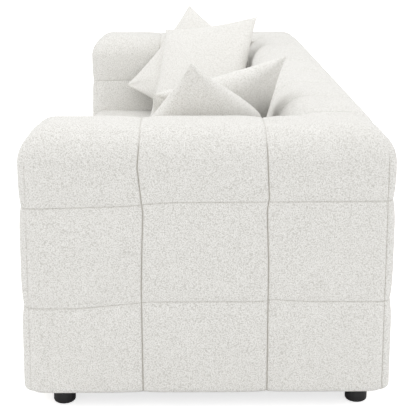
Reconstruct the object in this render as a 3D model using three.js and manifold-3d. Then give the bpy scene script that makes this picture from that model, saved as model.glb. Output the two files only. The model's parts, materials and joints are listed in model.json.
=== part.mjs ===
// A tuxedo sofa: arms and back of one height, clothed in quilted panels over a timber frame,
// with a sprung deck of webbing, low round feet and four throw pillows.
// Millimetres, +Z up, +X along the length, the front faces -Y, the origin is on the floor.

import * as THREE from "three";
import { mergeGeometries, mergeVertices } from "three/addons/utils/BufferGeometryUtils.js";
import Module from "manifold-3d";

const wasm = await Module();
wasm.setup();

// Overall sizes.
const sofaLength = 2280;
const sofaDepth = 940;
const topHeight = 735;
const seatHeight = 412;
const armWidth = 265;
const backThickness = 260;

// Sewn grid: the heights of the two level seams, and how the upright seams share each side.
const lowerSeamHeight = 295;
const upperSeamHeight = 552;
const armColumnShares = [0.323, 0.335, 0.342];
const backColumns = 7;
const seatFrontPanel = 303;

// Padding.
const padThickness = 42;
const facingThickness = 22;
const topPadding = 76;
const topRoll = 92;
const seatRoll = 62;
const hemRoll = 16;
const seamDepth = 11;
const puffReach = 95;
const pinchWidth = 26;
const stationSpacing = 42;
const clothGap = 0.4;

// Timber frame.
const boardThickness = 18;
const railThickness = 25;
const pullRailHeight = 60;
const centerRailWidth = 45;
const centerRailHeight = 110;
const blockLeg = 130;
const blockHeight = 45;
const joinGap = 0.3;
const dustCoverThickness = 1.6;

// Webbing.
const webbingWidth = 70;
const webbingThickness = 2.2;
const crossWebbingShares = [-0.266, 0.064];
const webbingTail = 22;

// Feet.
const footDiameter = 57;
const footHeight = 50;
const footEdgeRadius = 7;
const footInsetX = 78;
const footInsetFront = 100;
const footInsetRear = 80;
const footFloorRelief = 3;
const boltDiameter = 8;
const boltLength = 62;
const boltClearance = 0.3;
const boltHeadDiameter = 16;
const boltHeadHeight = 4;
const footSegments = 28;
const boltSegments = 16;

// Throw pillows: their size, where the right end's two stand, how far the seat pushes up the corner
// that each stands on and the back pushes in its side, how each lies, and the flat between them.
const pillowSide = 450;
const pillowThickness = 125;
const pillowBowShare = 0.08;
const pillowCrownPower = 0.5;
const pillowSteps = 10;
const outerFromArm = 114;
const outerFromBack = 222;
const outerSquash = 86;
const outerBackSquash = 85;
const innerFromArm = 274;
const innerFromBack = 196.5;
const innerSquash = 6;
const outerPillow = { turn: -70.5, lean: 27.5, roll: 30.5 };
const innerPillow = { turn: -53.5, lean: 33, roll: -11.5 };
const pressTurn = -60;
const pressFromArm = 285;
const pressFromBack = 291;
const restSteps = 6;

// Derived places.
const degree = Math.PI / 180;
const halfLength = sofaLength / 2;
const halfDepth = sofaDepth / 2;
const armInnerX = halfLength - armWidth;
const backFrontY = halfDepth - backThickness;
const columnWidth = (2 * armInnerX) / backColumns;
const railTop = lowerSeamHeight - 2 * (webbingThickness + joinGap) - 2 * joinGap;
const railBottom = footHeight + dustCoverThickness + 2 * joinGap;
const railOuterX = halfLength - padThickness;
const railOuterY = halfDepth - padThickness;
const boardTop = topHeight - topPadding;
const boardBottom = boardTop - boardThickness;
const footX = halfLength - footInsetX;
const frontFootY = footInsetFront - halfDepth;
const rearFootY = halfDepth - footInsetRear;

// Finishes.
const boucle = new THREE.MeshStandardMaterial({ color: 0xe9e8e2, roughness: 0.95, metalness: 0 });
const pillowCloth = new THREE.MeshStandardMaterial({ color: 0xebeae4, roughness: 0.95, metalness: 0 });
const timber = new THREE.MeshStandardMaterial({ color: 0xc7a673, roughness: 0.75, metalness: 0 });
const webbingCloth = new THREE.MeshStandardMaterial({ color: 0x4a4238, roughness: 0.9, metalness: 0 });
const dustCloth = new THREE.MeshStandardMaterial({ color: 0x1d1d1f, roughness: 0.95, metalness: 0 });
const blackPlastic = new THREE.MeshStandardMaterial({ color: 0x1a191c, roughness: 0.55, metalness: 0 });
const zincSteel = new THREE.MeshStandardMaterial({ color: 0xb9bcc0, roughness: 0.35, metalness: 0.9 });

function solidOf(geometry) {
  const bare = geometry.index ? geometry.clone() : mergeVertices(geometry.clone());
  bare.deleteAttribute("normal");
  bare.deleteAttribute("uv");
  const merged = mergeVertices(bare);
  return new wasm.Manifold(
    new wasm.Mesh({
      numProp: 3,
      vertProperties: new Float32Array(merged.attributes.position.array),
      triVerts: new Uint32Array(merged.index.array),
    }),
  );
}

function geometryOf(solid) {
  const mesh = solid.getMesh();
  const geometry = new THREE.BufferGeometry();
  geometry.setAttribute("position", new THREE.BufferAttribute(mesh.vertProperties, 3));
  geometry.setIndex(new THREE.BufferAttribute(mesh.triVerts, 1));
  const faceted = geometry.toNonIndexed();
  faceted.computeVertexNormals();
  return faceted;
}

function boxGeometry(low, high) {
  const size = high.map((value, axis) => value - low[axis]);
  const geometry = new THREE.BoxGeometry(...size);
  return geometry.translate(...low.map((value, axis) => value + size[axis] / 2));
}

function boxSolid(low, high) {
  return solidOf(boxGeometry(low, high));
}

function addMesh(group, name, geometry, material) {
  const mesh = new THREE.Mesh(geometry, material);
  mesh.name = name;
  group.add(mesh);
  return mesh;
}

// A board or rail whose mesh stands at its own centre.
function addBoard(group, name, low, high, material = timber) {
  const size = high.map((value, axis) => value - low[axis]);
  const mesh = addMesh(group, name, new THREE.BoxGeometry(...size), material);
  mesh.position.set(...low.map((value, axis) => value + size[axis] / 2));
  return mesh;
}

// The closed skin of a box-shaped lattice, each of whose nodes is moved to its place.
function latticeSkin(xs, ys, zs, place) {
  const found = new Map();
  const positions = [];
  const triangles = [];
  const node = (i, j, k) => {
    const key = `${i},${j},${k}`;
    if (!found.has(key)) {
      found.set(key, found.size);
      positions.push(...place(xs[i], ys[j], zs[k]));
    }
    return found.get(key);
  };
  const quad = (a, b, c, d) => triangles.push(a, b, c, a, c, d);
  const [lastX, lastY, lastZ] = [xs, ys, zs].map((list) => list.length - 1);
  for (let i = 0; i < lastX; i += 1) {
    for (let j = 0; j < lastY; j += 1) {
      quad(node(i, j, lastZ), node(i + 1, j, lastZ), node(i + 1, j + 1, lastZ), node(i, j + 1, lastZ));
      quad(node(i, j, 0), node(i, j + 1, 0), node(i + 1, j + 1, 0), node(i + 1, j, 0));
    }
    for (let k = 0; k < lastZ; k += 1) {
      quad(node(i, 0, k), node(i + 1, 0, k), node(i + 1, 0, k + 1), node(i, 0, k + 1));
      quad(node(i, lastY, k), node(i, lastY, k + 1), node(i + 1, lastY, k + 1), node(i + 1, lastY, k));
    }
  }
  for (let j = 0; j < lastY; j += 1) {
    for (let k = 0; k < lastZ; k += 1) {
      quad(node(0, j, k), node(0, j, k + 1), node(0, j + 1, k + 1), node(0, j + 1, k));
      quad(node(lastX, j, k), node(lastX, j + 1, k), node(lastX, j + 1, k + 1), node(lastX, j, k + 1));
    }
  }
  const geometry = new THREE.BufferGeometry();
  geometry.setAttribute("position", new THREE.Float32BufferAttribute(positions, 3));
  geometry.setIndex(triangles);
  return geometry;
}

// Lattice stations along one side: the ends, the turn of the roll, each seam and its pinch.
const rollTurnShare = Math.tan(Math.PI / 8);

function spreadStations(low, high, roll, seams) {
  const turns = [0, roll * (1 - rollTurnShare), roll];
  const wanted = [...turns.map((turn) => low + turn), ...turns.map((turn) => high - turn)];
  const inner = seams.filter((seam) => seam > low && seam < high);
  inner.forEach((seam) => wanted.push(seam - pinchWidth, seam, seam + pinchWidth));
  const edges = [low, ...inner, high];
  const kept = [...new Set([low, high, ...inner])];
  wanted
    .filter((value) => value > low && value < high)
    .forEach((value) => {
      if (kept.every((other) => Math.abs(other - value) > pinchWidth / 2)) kept.push(value);
    });
  addCrowns(kept, edges);
  return kept.sort((a, b) => a - b);
}

// A station halfway between neighbouring seams, where there is room for one.
function addCrowns(kept, edges) {
  edges.slice(1).forEach((edge, at) => {
    const middle = (edge + edges[at]) / 2;
    if (kept.every((other) => Math.abs(other - middle) > stationSpacing)) kept.push(middle);
  });
}

function heightStations(low, high, roll, seams) {
  const turns = [high - roll, high - roll * (1 - rollTurnShare), high];
  const kept = [low, low + hemRoll, ...turns, ...seams.filter((seam) => seam > low + hemRoll)];
  const wanted = seams.flatMap((seam) => [seam - pinchWidth, seam + pinchWidth]);
  wanted.forEach((value) => {
    const clear = kept.every((other) => Math.abs(other - value) > pinchWidth / 2);
    if (clear && value < high - roll) kept.push(value);
  });
  addCrowns(kept, [low, ...seams, high - roll]);
  return [...new Set(kept)].sort((a, b) => a - b);
}

// 0 on a seam, 1 where the padding is full.
function fullness(distance) {
  const left = 1 - Math.min(1, Math.max(0, distance) / puffReach);
  return 1 - left * left * left;
}

// A block of padding with rolled top edges, squarer upright corners and sewn seams drawn into it.
// seams holds the places of its seams along x, y and z; the seams cross the faces that they meet.
function quiltedBlock(low, high, roll, seams) {
  const cornerPower = 5;
  const mid = [0, 1].map((axis) => (low[axis] + high[axis]) / 2);
  const core = [0, 1].map((axis) => (high[axis] - low[axis]) / 2 - roll);
  const settle = (x, y, z, sunk) => {
    const off = [x - mid[0], y - mid[1]];
    const share = off.map((value, axis) => Math.max(0, Math.abs(value) - core[axis]) / roll);
    const most = Math.max(...share);
    const norm = (share[0] ** cornerPower + share[1] ** cornerPower) ** (1 / cornerPower) || 1;
    const rise = Math.max(0, z - (high[2] - roll)) / roll;
    const fall = Math.max(0, low[2] + hemRoll - z) / hemRoll;
    const turn = rise > 0 ? Math.atan2(rise, most) : 0;
    const hemTurn = (fall * Math.PI) / 2;
    let reach = (roll - sunk) * Math.cos(turn) - hemRoll * (1 - Math.cos(hemTurn));
    if (fall === 1) reach *= most;
    const flat = off.map((value, axis) => {
      const inside = Math.min(core[axis], Math.abs(value));
      return mid[axis] + Math.sign(value) * (inside + (share[axis] / norm) * reach);
    });
    let height = Math.min(z, high[2] - roll);
    if (rise > 0) height += (roll - sunk) * Math.sin(turn);
    if (fall > 0) height = low[2] + hemRoll * (1 - Math.sin(hemTurn));
    return [...flat, height];
  };
  const place = (x, y, z) => {
    const bare = settle(x, y, z, 0);
    const inset = [0, 1].map((axis) => Math.min(bare[axis] - low[axis], high[axis] - bare[axis]));
    const drop = high[2] - bare[2];
    const across = [Math.min(inset[1], drop), Math.min(inset[0], drop), Math.min(...inset)];
    const full = seams.map((places, axis) =>
      Math.min(1, ...places.map((at) => fullness(Math.abs(bare[axis] - at) + across[axis]))),
    );
    const hemFull = fullness(bare[2] - low[2] + Math.min(...inset));
    const sunk = seamDepth * (1 - full[0] * full[1] * full[2] * (1 - (1 - hemFull) / 2));
    return settle(x, y, z, sunk);
  };
  const skin = latticeSkin(
    spreadStations(low[0], high[0], roll, seams[0]),
    spreadStations(low[1], high[1], roll, seams[1]),
    heightStations(low[2], high[2], roll, seams[2]),
    place,
  );
  return solidOf(skin);
}

const levelSeams = [lowerSeamHeight, upperSeamHeight];

// The upright seams of an arm's side, counted from the front.
function armSeams() {
  let along = -halfDepth;
  const places = armColumnShares.slice(0, -1).map((share) => (along += share * sofaDepth));
  const facing = halfDepth - facingThickness;
  return [-facing, ...places, facing];
}

// The upright seams of the back, with the two where it joins the arms.
function backSeams() {
  return Array.from({ length: backColumns + 1 }, (_, at) => at * columnWidth - armInnerX);
}

// The back's padding, run on into the arms so that their corners come out flush.
function backBlock() {
  const overrun = armWidth / 2;
  const low = [-armInnerX - overrun, backFrontY, footHeight];
  const high = [armInnerX + overrun, halfDepth, topHeight];
  return quiltedBlock(low, high, topRoll, [backSeams(), [], levelSeams]);
}

// One arm's whole padding, corner with the back included, before the frame's hollow is cut.
function armBlock(back, side) {
  const ends = [side * armInnerX, side * halfLength].sort((a, b) => a - b);
  const low = [ends[0], -halfDepth, footHeight];
  const high = [ends[1], halfDepth, topHeight];
  const arm = quiltedBlock(low, high, topRoll, [[], armSeams(), levelSeams]);
  return arm.add(back.intersect(boxSolid([ends[0], -halfDepth, 0], [ends[1], halfDepth, topHeight])));
}

// The hollow in one arm's padding that its frame fills.
function armHollow(side) {
  const ends = [side * (armInnerX + padThickness), side * railOuterX].sort((a, b) => a - b);
  const reach = halfDepth - facingThickness;
  return boxSolid([ends[0], -reach, 0], [ends[1], reach, boardTop + joinGap]);
}

// The hollow in the back's padding that its frame fills.
function backHollow(halfWidth) {
  const frontY = backFrontY + padThickness;
  return boxSolid([-halfWidth, frontY, 0], [halfWidth, railOuterY, boardTop + joinGap]);
}

function addPanels(group, block, panels) {
  for (const [name, low, high] of panels) {
    const inset = (value, by) => value.map((number) => number + by);
    const room = boxSolid(inset(low, clothGap / 2), inset(high, -clothGap / 2));
    addMesh(group, name, geometryOf(block.intersect(room)), boucle);
  }
}

// Padding and cloth of one arm, drawn for the +X side. Its rear belongs to the rear panel.
function armUpholstery(side, back) {
  const group = new THREE.Group();
  const block = armBlock(back, 1).subtract(armHollow(1));
  const middle = armInnerX + armWidth / 2;
  const innerEnd = backFrontY + padThickness;
  const facing = halfDepth - facingThickness;
  const hem = footHeight - clothGap;
  const crest = topHeight + clothGap;
  const outer = halfLength + clothGap;
  const level = upperSeamHeight;
  addPanels(group, block, [
    [`${side}_arm_cap`, [armInnerX, -sofaDepth, level], [outer, sofaDepth, crest]],
    [`${side}_arm_outer_panel`, [middle, -facing, hem], [outer, facing, level]],
    [`${side}_arm_inner_panel`, [armInnerX, -facing, lowerSeamHeight], [middle, innerEnd, level]],
    [`${side}_arm_front_panel`, [armInnerX, -sofaDepth, hem], [outer, -facing, level]],
  ]);
  return group;
}

// Box frame of one arm, drawn for the +X side: two end boards, a top board and an inner pull rail.
function armFrame(side) {
  const group = new THREE.Group();
  const innerX = armInnerX + padThickness + joinGap;
  const outerX = railOuterX - joinGap;
  const boardFace = halfDepth - facingThickness - joinGap;
  const boardBack = railOuterY;
  const under = boardBottom - joinGap;
  addBoard(group, `${side}_arm_front_board`, [innerX, -boardFace, railBottom], [outerX, -boardBack, under]);
  addBoard(group, `${side}_arm_rear_board`, [innerX, boardBack, railBottom], [outerX, boardFace, under]);
  addBoard(group, `${side}_arm_top_board`, [innerX, -boardFace, boardBottom], [outerX, boardFace, boardTop]);
  const railEnd = boardBack - joinGap;
  const pullLow = [innerX, -railEnd, lowerSeamHeight];
  const pullHigh = [innerX + railThickness, railEnd, lowerSeamHeight + pullRailHeight];
  addBoard(group, `${side}_arm_pull_rail`, pullLow, pullHigh);
  return group;
}

function arm(side, back) {
  const group = new THREE.Group();
  group.add(armUpholstery(side, back), armFrame(side));
  return group;
}

// Cap and seat-side panel of the back, between the arms.
function backUpholstery(back) {
  const group = new THREE.Group();
  const block = back.subtract(backHollow(sofaLength));
  const middleY = halfDepth - backThickness / 2;
  const crest = topHeight + clothGap;
  const level = upperSeamHeight;
  const x = armInnerX;
  addPanels(group, block, [
    ["back_cap", [-x, 0, level], [x, sofaDepth, crest]],
    ["back_front_panel", [-x, 0, lowerSeamHeight], [x, middleY, level]],
  ]);
  return group;
}

// The rear panel runs the sofa's whole length and covers the arms' rear ends too.
function rearUpholstery(back) {
  const group = new THREE.Group();
  const whole = back.add(armBlock(back, 1)).add(armBlock(back, -1));
  const block = whole.subtract(backHollow(armInnerX)).subtract(armHollow(1)).subtract(armHollow(-1));
  const hem = footHeight - clothGap / 2;
  const level = upperSeamHeight - clothGap / 2;
  const facing = halfDepth - facingThickness + clothGap / 2;
  const ends = boxSolid([-sofaLength, facing, hem], [sofaLength, sofaDepth, level]);
  const middle = boxSolid([-armInnerX, railOuterY, hem], [armInnerX, sofaDepth, level]);
  addMesh(group, "rear_panel", geometryOf(block.intersect(ends.add(middle))), boucle);
  return group;
}

// Ribs, top board and lower rail of the back frame.
function backFrame() {
  const group = new THREE.Group();
  const frontY = backFrontY + padThickness + joinGap;
  const rearY = railOuterY - joinGap;
  const shoulder = lowerSeamHeight + pullRailHeight + joinGap;
  const footY = rearY - railThickness;
  const under = boardBottom - joinGap;
  const outline = new THREE.Shape([
    new THREE.Vector2(frontY, shoulder),
    new THREE.Vector2(footY, shoulder),
    new THREE.Vector2(footY, railTop + joinGap),
    new THREE.Vector2(rearY, railTop + joinGap),
    new THREE.Vector2(rearY, under),
    new THREE.Vector2(frontY, under),
  ]);
  const rib = new THREE.ExtrudeGeometry(outline, { depth: boardThickness, bevelEnabled: false });
  const endRib = armInnerX - boardThickness / 2 - joinGap;
  const innerRib = armInnerX - 2 * columnWidth;
  const ribs = [
    ["back_rib_left", -endRib],
    ["back_rib_inner_left", -innerRib],
    ["back_rib_inner_right", innerRib],
    ["back_rib_right", endRib],
  ];
  for (const [name, centre] of ribs) {
    const mesh = addMesh(group, name, rib, timber);
    mesh.rotation.set(Math.PI / 2, Math.PI / 2, 0);
    mesh.position.x = centre - boardThickness / 2;
  }
  const boardX = armInnerX - joinGap;
  addBoard(group, "back_top_board", [-boardX, frontY, boardBottom], [boardX, rearY, boardTop]);
  const railLow = [-boardX, frontY, lowerSeamHeight];
  const railHigh = [boardX, frontY + railThickness, lowerSeamHeight + pullRailHeight];
  addBoard(group, "back_lower_rail", railLow, railHigh);
  return group;
}

// The seat's padding, front border included, run on under the arms and the back.
function seatBlock() {
  const low = [-armInnerX - seatRoll, -halfDepth, footHeight];
  const high = [armInnerX + seatRoll, backFrontY + seatRoll, seatHeight];
  const cross = [seatFrontPanel - halfDepth, backFrontY];
  return quiltedBlock(low, high, seatRoll, [backSeams(), cross, [lowerSeamHeight]]);
}

// The sprung seat's pad and the border below its front edge.
function seatUpholstery(block) {
  const group = new THREE.Group();
  const x = armInnerX;
  const hem = footHeight - clothGap;
  const borderBack = padThickness - halfDepth;
  addPanels(group, block, [
    ["seat_pad", [-x, -sofaDepth, lowerSeamHeight], [x, backFrontY, seatHeight + clothGap]],
    ["front_border_panel", [-x, -sofaDepth, hem], [x, borderBack, lowerSeamHeight]],
  ]);
  return group;
}

// Front, rear, end and centre rails.
function baseFrame() {
  const group = new THREE.Group();
  const x = railOuterX - joinGap;
  const y = railOuterY - joinGap;
  const innerY = y - railThickness;
  addBoard(group, "front_rail", [-x, -y, railBottom], [x, -innerY, railTop]);
  addBoard(group, "rear_rail", [-x, innerY, railBottom], [x, y, railTop]);
  const end = innerY - joinGap;
  const innerX = x - railThickness;
  addBoard(group, "left_end_rail", [-x, -end, railBottom], [-innerX, end, railTop]);
  addBoard(group, "right_end_rail", [innerX, -end, railBottom], [x, end, railTop]);
  const half = centerRailWidth / 2;
  const rail = boxSolid([-half, -end, railBottom], [half, end, railBottom + centerRailHeight]);
  addMesh(group, "center_rail", geometryOf(rail.subtract(boltHole(0, 0))), timber);
  return group;
}

function boltHole(x, y) {
  const radius = boltDiameter / 2 + boltClearance;
  const depth = boltLength;
  const hole = new THREE.CylinderGeometry(radius, radius, depth, boltSegments);
  hole.rotateX(Math.PI / 2);
  return solidOf(hole.translate(x, y, footHeight - footFloorRelief + depth / 2));
}

// The middle of each foot, by its place under the frame.
const footPlaces = [
  ["front_left", -footX, frontFootY],
  ["front_right", footX, frontFootY],
  ["rear_left", -footX, rearFootY],
  ["rear_right", footX, rearFootY],
  ["center", 0, 0],
];

// Three-cornered blocks in the frame's corners, bored for the feet's bolts.
function cornerBlocks() {
  const group = new THREE.Group();
  const cornerX = railOuterX - railThickness - 2 * joinGap;
  const cornerY = railOuterY - railThickness - 2 * joinGap;
  for (const [place, x, y] of footPlaces.filter(([, across]) => across !== 0)) {
    const sideX = Math.sign(x);
    const sideY = Math.sign(y);
    const corner = new THREE.Vector2(sideX * cornerX, sideY * cornerY);
    const outline = new THREE.Shape([
      corner,
      new THREE.Vector2(corner.x - sideX * blockLeg, corner.y),
      new THREE.Vector2(corner.x, corner.y - sideY * blockLeg),
    ]);
    const block = new THREE.ExtrudeGeometry(outline, { depth: blockHeight, bevelEnabled: false });
    block.translate(0, 0, railBottom);
    const bored = solidOf(block).subtract(boltHole(x, y));
    addMesh(group, `${place}_corner_block`, geometryOf(bored), timber);
  }
  return group;
}

// A turned foot: straight sides, rounded floor edge and a bored well for the bolt's head.
function footGeometry() {
  const radius = footDiameter / 2;
  const top = footHeight - joinGap;
  const well = boltHeadDiameter / 2 + boltClearance;
  const wellTop = footHeight - footFloorRelief - boltHeadHeight;
  const neck = boltDiameter / 2 + boltClearance;
  const profile = [new THREE.Vector2(well, 0), new THREE.Vector2(radius - footEdgeRadius, 0)];
  const turns = 3;
  for (let step = 1; step <= turns; step += 1) {
    const angle = (step / turns) * (Math.PI / 2);
    const x = radius - footEdgeRadius * (1 - Math.sin(angle));
    profile.push(new THREE.Vector2(x, footEdgeRadius * (1 - Math.cos(angle))));
  }
  profile.push(new THREE.Vector2(radius, top), new THREE.Vector2(neck, top));
  profile.push(new THREE.Vector2(neck, wellTop), new THREE.Vector2(well, wellTop));
  profile.push(profile[0].clone());
  const foot = new THREE.LatheGeometry(profile, footSegments);
  return foot.rotateX(Math.PI / 2);
}

// A bolt whose head pulls the foot up against the frame.
function boltGeometry() {
  const head = boltHeadDiameter / 2;
  const shank = boltDiameter / 2;
  const wellTop = footHeight - footFloorRelief - boltHeadHeight - joinGap;
  const tip = footHeight - footFloorRelief + boltLength - joinGap;
  const profile = [
    new THREE.Vector2(0, wellTop - boltHeadHeight),
    new THREE.Vector2(head, wellTop - boltHeadHeight),
    new THREE.Vector2(head, wellTop),
    new THREE.Vector2(shank, wellTop),
    new THREE.Vector2(shank, tip - shank / 2),
    new THREE.Vector2(shank / 2, tip),
    new THREE.Vector2(0, tip),
  ];
  return new THREE.LatheGeometry(profile, boltSegments).rotateX(Math.PI / 2);
}

function feet() {
  const group = new THREE.Group();
  for (const [place, x, y] of footPlaces) {
    addMesh(group, `${place}_foot`, solidMade(footGeometry()), blackPlastic).position.set(x, y, 0);
    addMesh(group, `${place}_foot_bolt`, solidMade(boltGeometry()), zincSteel).position.set(x, y, 0);
  }
  return group;
}

// A turned shape with its faces set outwards.
function solidMade(geometry) {
  return geometryOf(solidOf(geometry));
}

// Bands from the front rail to the rear rail, one under each column of the seat.
function seatWebbing() {
  const group = new THREE.Group();
  const low = railTop + joinGap;
  const half = webbingWidth / 2;
  const end = railOuterY - joinGap;
  for (let at = 0; at < backColumns; at += 1) {
    const middle = (at + 1 / 2) * columnWidth - armInnerX;
    const lowCorner = [middle - half, -end, low];
    const highCorner = [middle + half, end, low + webbingThickness];
    addBoard(group, `seat_webbing_${at + 1}`, lowCorner, highCorner, webbingCloth);
  }
  return group;
}

// A band from end rail to end rail, woven over and under the others.
function crossWebbing() {
  const group = new THREE.Group();
  const level = railTop + joinGap + webbingThickness / 2;
  const swing = webbingThickness + joinGap;
  const end = railOuterX - joinGap;
  crossWebbingShares.forEach((share, order) => {
    const route = [[-end, 0], [webbingTail - end, 0]];
    for (let at = 0; at < backColumns; at += 1) {
      const middle = (at + 1 / 2) * columnWidth - armInnerX;
      const way = (at + order) % 2 ? -swing : swing;
      const reach = webbingWidth / 2 + webbingTail;
      route.push([middle - reach, way], [middle + reach, way]);
    }
    route.push([end - webbingTail, 0], [end, 0]);
    const half = webbingThickness / 2;
    const upper = route.map(([x, z]) => new THREE.Vector2(x, level + z + half));
    const lower = route.map(([x, z]) => new THREE.Vector2(x, level + z - half)).reverse();
    const band = new THREE.ExtrudeGeometry(new THREE.Shape([...upper, ...lower]), {
      depth: webbingWidth,
      bevelEnabled: false,
    });
    band.rotateX(Math.PI / 2);
    const name = order ? "cross_webbing_rear" : "cross_webbing_front";
    addMesh(group, name, band, webbingCloth).position.y = share * sofaDepth + webbingWidth / 2;
  });
  return group;
}

// Black cloth that closes the underside, let round the feet's bolts.
function dustCover() {
  const group = new THREE.Group();
  const x = railOuterX - joinGap;
  const y = railOuterY - joinGap;
  const low = footHeight + joinGap;
  let sheet = boxSolid([-x, -y, low], [x, y, low + dustCoverThickness]);
  for (const [, holeX, holeY] of footPlaces) {
    sheet = sheet.subtract(boltHole(holeX, holeY));
  }
  addMesh(group, "dust_cover", geometryOf(sheet), dustCloth);
  return group;
}

// The way the outer pillow lifts: up the slope that rests on both rolled crests.
const outerLift = new THREE.Vector3(rollTurnShare, rollTurnShare, 1).normalize();
const along = { x: new THREE.Vector3(1, 0, 0), y: new THREE.Vector3(0, 1, 0) };

// One face of a pillow: crowned, its sides drawn in between pulled-out corners.
function pillowFace() {
  const half = pillowSide / 2;
  const crown = pillowThickness / 2;
  const face = new THREE.PlaneGeometry(1, 1, pillowSteps, pillowSteps);
  face.deleteAttribute("normal");
  face.deleteAttribute("uv");
  const places = face.attributes.position;
  for (let at = 0; at < places.count; at += 1) {
    const u = Math.sin(places.getX(at) * Math.PI);
    const v = Math.sin(places.getY(at) * Math.PI);
    const room = [1 - u * u, 1 - v * v];
    const x = half * u * (1 - pillowBowShare * room[1]);
    const y = half * v * (1 - pillowBowShare * room[0]);
    places.setXYZ(at, x, y, crown * (room[0] * room[1]) ** pillowCrownPower);
  }
  return face;
}

// Both faces, joined along the knife edge.
function pillowGeometry() {
  const face = pillowFace();
  return mergeVertices(mergeGeometries([face, face.clone().rotateY(Math.PI)]));
}

// How a pillow of the right end lies: turned in its own plane, leaned back and turned about the
// upright.
function pillowPose(pillow, fromArm, fromBack) {
  const pose = new THREE.Matrix4().makeRotationZ(pillow.turn * degree);
  pose.multiply(new THREE.Matrix4().makeRotationX(Math.PI / 2 - pillow.lean * degree));
  pose.multiply(new THREE.Matrix4().makeRotationZ(pillow.roll * degree));
  return pose.setPosition(armInnerX - fromArm, backFrontY - fromBack, 0);
}

// Pushes the low corner of a placed pillow up into its body, as its weight does on the seat.
function squashLow(placed, squash) {
  placed.computeBoundingBox();
  const reach = 2 * squash;
  const soft = placed.boundingBox.min.z + reach;
  const places = placed.attributes.position;
  for (let at = 0; at < places.count; at += 1) {
    const share = Math.max(0, (soft - places.getZ(at)) / reach);
    places.setZ(at, places.getZ(at) + (reach * share ** 2) / 2);
  }
}

// Pushes the rearmost corner of a placed pillow into its body, as the sofa's back does.
function squashRear(placed, squash) {
  placed.computeBoundingBox();
  const reach = 2 * squash;
  const soft = placed.boundingBox.max.y - reach;
  const places = placed.attributes.position;
  for (let at = 0; at < places.count; at += 1) {
    const share = Math.max(0, (places.getY(at) - soft) / reach);
    places.setY(at, places.getY(at) - (reach * share ** 2) / 2);
  }
}

// How far a placed pillow has to rise to rest its lowest point on the seat.
function pillowRise(placed, seat) {
  placed.computeBoundingBox();
  let rise = seatHeight + joinGap - placed.boundingBox.min.z;
  const solid = solidOf(placed);
  for (let step = 0; step < restSteps; step += 1) {
    rise -= solid.translate([0, 0, rise]).minGap(seat, seatRoll) - joinGap;
  }
  return rise;
}

// The flats where the outer pillow is pressed against the crests of the arm and the back.
function crestFlats() {
  const reach = topRoll + joinGap;
  const middleZ = topHeight - topRoll;
  const flat = (normal, x, y) => {
    normal.normalize();
    const middle = new THREE.Vector3(x, y, middleZ);
    return new THREE.Plane().setFromNormalAndCoplanarPoint(normal, middle.addScaledVector(normal, -reach));
  };
  return [
    flat(along.y.clone().cross(outerLift), armInnerX + topRoll, 0),
    flat(outerLift.clone().cross(along.x), 0, backFrontY + topRoll),
  ];
}

// The flat where the two pillows of an end press on each other; it faces the inner one.
function sharedFlat() {
  const level = along.x.clone().applyAxisAngle(new THREE.Vector3(0, 0, 1), pressTurn * degree);
  const normal = level.cross(outerLift).normalize();
  const point = new THREE.Vector3(armInnerX - pressFromArm, backFrontY - pressFromBack, seatHeight);
  return new THREE.Plane().setFromNormalAndCoplanarPoint(normal, point);
}

// All that lies on the far side of a plane.
function beyond(plane) {
  const block = new THREE.BoxGeometry(sofaLength, sofaLength, sofaLength);
  block.translate(0, 0, sofaLength / 2);
  block.applyQuaternion(new THREE.Quaternion().setFromUnitVectors(new THREE.Vector3(0, 0, 1), plane.normal));
  block.translate(...plane.coplanarPoint(new THREE.Vector3()).toArray());
  return solidOf(block);
}

function addPillow(group, name, placed, pose, flats, seat) {
  const rise = pillowRise(placed, seat);
  let solid = solidOf(placed).translate([0, 0, rise]);
  for (const flat of flats) {
    solid = solid.subtract(beyond(flat));
  }
  const rested = new THREE.Matrix4().makeTranslation(0, 0, rise).multiply(pose);
  const shape = geometryOf(solid).applyMatrix4(rested.clone().invert());
  addMesh(group, name, shape, pillowCloth).applyMatrix4(rested);
}

// The two pillows of one end, drawn for the right end: the outer stands in the corner, the inner
// leans on it.
function pillows(side, seat) {
  const group = new THREE.Group();
  const shared = sharedFlat();
  const outerSide = shared.clone();
  outerSide.constant += joinGap / 2;
  const innerSide = shared.clone().negate();
  innerSide.constant += joinGap / 2;
  const outer = pillowPose(outerPillow, outerFromArm, outerFromBack);
  const inner = pillowPose(innerPillow, innerFromArm, innerFromBack);
  const outerShape = pillowGeometry().applyMatrix4(outer);
  const innerShape = pillowGeometry().applyMatrix4(inner);
  squashLow(outerShape, outerSquash);
  squashRear(outerShape, outerBackSquash);
  squashLow(innerShape, innerSquash);
  addPillow(group, `${side}_outer_pillow`, outerShape, outer, [...crestFlats(), outerSide], seat);
  addPillow(group, `${side}_inner_pillow`, innerShape, inner, [innerSide], seat);
  return group;
}

const back = backBlock();
const seat = seatBlock();
const sofa = new THREE.Group();
const rightArm = arm("right", back);
const leftArm = arm("left", back);
leftArm.scale.x = -1;
sofa.add(rightArm, leftArm);
sofa.add(backUpholstery(back), rearUpholstery(back), backFrame(), seatUpholstery(seat));
sofa.add(baseFrame(), cornerBlocks());
sofa.add(feet(), seatWebbing(), crossWebbing(), dustCover());
const eitherSeat = seat.add(seat.mirror([1, 0, 0]));
const leftPillows = pillows("left", eitherSeat);
leftPillows.scale.x = -1;
sofa.add(pillows("right", eitherSeat), leftPillows);

export default sofa;
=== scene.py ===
"""Looks of a tuxedo sofa in off-white boucle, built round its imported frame.

Metres, +Z up, the front faces -Y and the right end is +X. Every size that the frame
holds is read from it; the rest are fields of the class that uses them.
"""

import json
import logging
import math
from collections.abc import Callable
from dataclasses import dataclass, field
from enum import Enum

import bmesh
import bpy
import numpy as np
from mathutils import Matrix, Quaternion, Vector


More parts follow.
